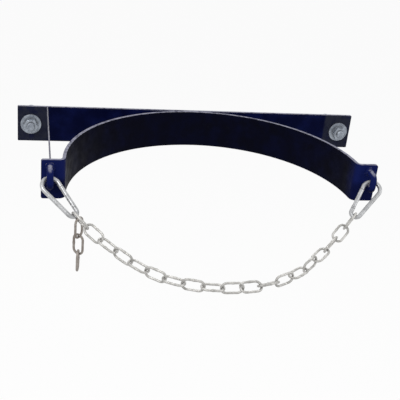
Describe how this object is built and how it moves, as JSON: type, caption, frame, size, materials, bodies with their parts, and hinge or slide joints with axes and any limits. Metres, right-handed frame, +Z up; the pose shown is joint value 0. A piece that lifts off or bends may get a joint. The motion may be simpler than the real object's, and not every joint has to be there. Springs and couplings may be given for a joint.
{
  "type": "gas cylinder bracket",
  "caption": "Wall bracket for an upright gas cylinder: flat bar on two anchors, welded half-round saddle with tabs and eyes, and a chain with a snap hook at each end.",
  "frame": {"origin": "middle of the wall bar's back face, on the wall", "axes": "+X along the bar, +Y into the wall, +Z up"},
  "size_m": [0.366, 0.2907, 0.0961],
  "materials": {
    "navy_coat": "worn satin powder coat",
    "anchor_zinc": "zinc plated, dull",
    "chain_zinc": "galvanised",
    "hook_zinc": "bright zinc",
    "spring_steel": "spring steel"
  },
  "bodies": {
    "bracket": {"wall_bar": "navy_coat", "saddle": "navy_coat", "weld_bead_left": "navy_coat", "weld_bead_right": "navy_coat", "eye_staple_left": "navy_coat", "eye_staple_right": "navy_coat", "anchor_stud_left": "anchor_zinc", "anchor_stud_right": "anchor_zinc", "anchor_sleeve_left": "anchor_zinc", "anchor_sleeve_right": "anchor_zinc", "anchor_washer_left": "anchor_zinc", "anchor_washer_right": "anchor_zinc", "anchor_nut_left": "anchor_zinc", "anchor_nut_right": "anchor_zinc"},
    "hook_left": {"hook_body_left": "hook_zinc", "gate_pin_left": "hook_zinc"},
    "gate_left": {"hook_gate_left": "hook_zinc", "gate_spring_left": "spring_steel"},
    "hook_right": {"hook_body_right": "hook_zinc", "gate_pin_right": "hook_zinc"},
    "gate_right": {"hook_gate_right": "hook_zinc", "gate_spring_right": "spring_steel"},
    "link_01": {"chain_link_01": "chain_zinc"},
    "link_02": {"chain_link_02": "chain_zinc"},
    "link_03": {"chain_link_03": "chain_zinc"},
    "link_04": {"chain_link_04": "chain_zinc"},
    "link_05": {"chain_link_05": "chain_zinc"},
    "link_06": {"chain_link_06": "chain_zinc"},
    "link_07": {"chain_link_07": "chain_zinc"},
    "link_08": {"chain_link_08": "chain_zinc"},
    "link_09": {"chain_link_09": "chain_zinc"},
    "link_10": {"chain_link_10": "chain_zinc"},
    "link_11": {"chain_link_11": "chain_zinc"},
    "link_12": {"chain_link_12": "chain_zinc"},
    "link_13": {"chain_link_13": "chain_zinc"},
    "link_14": {"chain_link_14": "chain_zinc"},
    "link_15": {"chain_link_15": "chain_zinc"},
    "link_16": {"chain_link_16": "chain_zinc"},
    "link_17": {"chain_link_17": "chain_zinc"},
    "link_18": {"chain_link_18": "chain_zinc"},
    "link_19": {"chain_link_19": "chain_zinc"},
    "spare_1": {"spare_link_1": "chain_zinc"},
    "spare_2": {"spare_link_2": "chain_zinc"},
    "spare_3": {"spare_link_3": "chain_zinc"}
  },
  "joints": [
    {"name": "hook_right_swing", "type": "hinge", "parent": "bracket", "child": "hook_right", "pos_m": [0.1557, -0.15061, 0.0045], "axis": [0.9941, 0.0706, 0.0828], "range_deg": [-10, 4]},
    {"name": "link_19_turn", "type": "hinge", "parent": "hook_right", "child": "link_19", "pos_m": [0.13116, -0.17099, -0.01939], "axis": [-1, 0, 0], "range_deg": [-11, 11]},
    {"name": "link_18_turn", "type": "hinge", "parent": "link_19", "child": "link_18", "pos_m": [0.11991, -0.18034, -0.02766], "axis": [0.9988, -0.0372, -0.0329], "range_deg": [-11, 11]},
    {"name": "link_17_turn", "type": "hinge", "parent": "link_18", "child": "link_17", "pos_m": [0.10818, -0.19009, -0.03469], "axis": [-0.9948, 0.0794, 0.0636], "range_deg": [-11, 11]},
    {"name": "link_16_turn", "type": "hinge", "parent": "link_17", "child": "link_16", "pos_m": [0.09603, -0.20018, -0.04043], "axis": [0.9877, -0.1269, -0.0914], "range_deg": [-10, 10]},
    {"name": "link_15_turn", "type": "hinge", "parent": "link_16", "child": "link_15", "pos_m": [0.08357, -0.21053, -0.04487], "axis": [-0.9768, 0.1799, 0.1159], "range_deg": [-10, 10]},
    {"name": "link_14_turn", "type": "hinge", "parent": "link_15", "child": "link_14", "pos_m": [0.07069, -0.22082, -0.04809], "axis": [0.9617, -0.2374, -0.1367], "range_deg": [-10, 10]},
    {"name": "link_13_turn", "type": "hinge", "parent": "link_14", "child": "link_13", "pos_m": [0.0565, -0.22956, -0.05024], "axis": [-0.9431, 0.2943, 0.155], "range_deg": [-10, 10]},
    {"name": "link_12_turn", "type": "hinge", "parent": "link_13", "child": "link_12", "pos_m": [0.04117, -0.23631, -0.0515], "axis": [0.9212, -0.3492, -0.1716], "range_deg": [-10, 10]},
    {"name": "link_11_turn", "type": "hinge", "parent": "link_12", "child": "link_11", "pos_m": [0.02502, -0.2409, -0.05208], "axis": [-0.8965, 0.4013, 0.1877], "range_deg": [-10, 10]},
    {"name": "link_10_turn", "type": "hinge", "parent": "link_11", "child": "link_10", "pos_m": [0.00839, -0.24321, -0.05225], "axis": [0.8693, -0.4499, -0.2047], "range_deg": [-9, 9]},
    {"name": "link_09_turn", "type": "hinge", "parent": "link_10", "child": "link_09", "pos_m": [-0.00839, -0.24321, -0.05225], "axis": [-0.8399, 0.494, 0.2248], "range_deg": [-10, 10]},
    {"name": "link_08_turn", "type": "hinge", "parent": "link_09", "child": "link_08", "pos_m": [-0.02502, -0.2409, -0.05208], "axis": [0.8088, -0.5327, -0.2491], "range_deg": [-11, 11]},
    {"name": "link_07_turn", "type": "hinge", "parent": "link_08", "child": "link_07", "pos_m": [-0.04117, -0.23631, -0.0515], "axis": [-0.7775, 0.5644, 0.2774], "range_deg": [-10, 10]},
    {"name": "link_06_turn", "type": "hinge", "parent": "link_07", "child": "link_06", "pos_m": [-0.0565, -0.22956, -0.05024], "axis": [0.7483, -0.587, -0.3091], "range_deg": [-10, 10]},
    {"name": "link_05_turn", "type": "hinge", "parent": "link_06", "child": "link_05", "pos_m": [-0.07069, -0.22082, -0.04809], "axis": [-0.7247, 0.5971, 0.3439], "range_deg": [-9, 9]},
    {"name": "link_04_turn", "type": "hinge", "parent": "link_05", "child": "link_04", "pos_m": [-0.08357, -0.21053, -0.04487], "axis": [0.7113, -0.5909, -0.3807], "range_deg": [-8, 8]},
    {"name": "link_03_turn", "type": "hinge", "parent": "link_04", "child": "link_03", "pos_m": [-0.09603, -0.20018, -0.04043], "axis": [-0.6987, 0.5804, 0.4183], "range_deg": [-8, 8]},
    {"name": "link_02_turn", "type": "hinge", "parent": "link_03", "child": "link_02", "pos_m": [-0.10818, -0.19009, -0.03469], "axis": [0.6847, -0.5688, -0.4557], "range_deg": [-8, 8]},
    {"name": "link_01_turn", "type": "hinge", "parent": "link_02", "child": "link_01", "pos_m": [-0.11991, -0.18034, -0.02766], "axis": [-0.6696, 0.5563, 0.4921], "range_deg": [-7, 7]},
    {"name": "hook_left_turn", "type": "hinge", "parent": "bracket", "child": "hook_left", "pos_m": [-0.1557, -0.15061, 0.0045], "axis": [-0.6156, 0.5114, 0.5996], "range_deg": [-1, 6]},
    {"name": "spare_1_swing", "type": "hinge", "parent": "link_01", "child": "spare_1", "pos_m": [-0.12526, -0.17224, -0.02702], "axis": [0.6696, -0.5563, -0.4921], "range_deg": [-15, 15]},
    {"name": "spare_2_swing", "type": "hinge", "parent": "spare_1", "child": "spare_2", "pos_m": [-0.12643, -0.17127, -0.04236], "axis": [-0.639, -0.7692, 0], "range_deg": [-35, 35]},
    {"name": "spare_3_swing", "type": "hinge", "parent": "spare_2", "child": "spare_3", "pos_m": [-0.12643, -0.17127, -0.05916], "axis": [0.7692, -0.639, 0], "range_deg": [-35, 35]},
    {"name": "gate_left_open", "type": "hinge", "parent": "hook_left", "child": "gate_left", "pos_m": [-0.13156, -0.16437, -0.01414], "axis": [0.2542, -0.5913, 0.7653], "range_deg": [0, 25], "stiffness_Nm_per_rad": 0.05, "springref_deg": -17.19},
    {"name": "gate_right_open", "type": "hinge", "parent": "hook_right", "child": "gate_right", "pos_m": [0.13156, -0.16437, -0.01414], "axis": [0.2542, 0.5913, -0.7653], "range_deg": [0, 25], "stiffness_Nm_per_rad": 0.05, "springref_deg": -17.19}
  ]
}
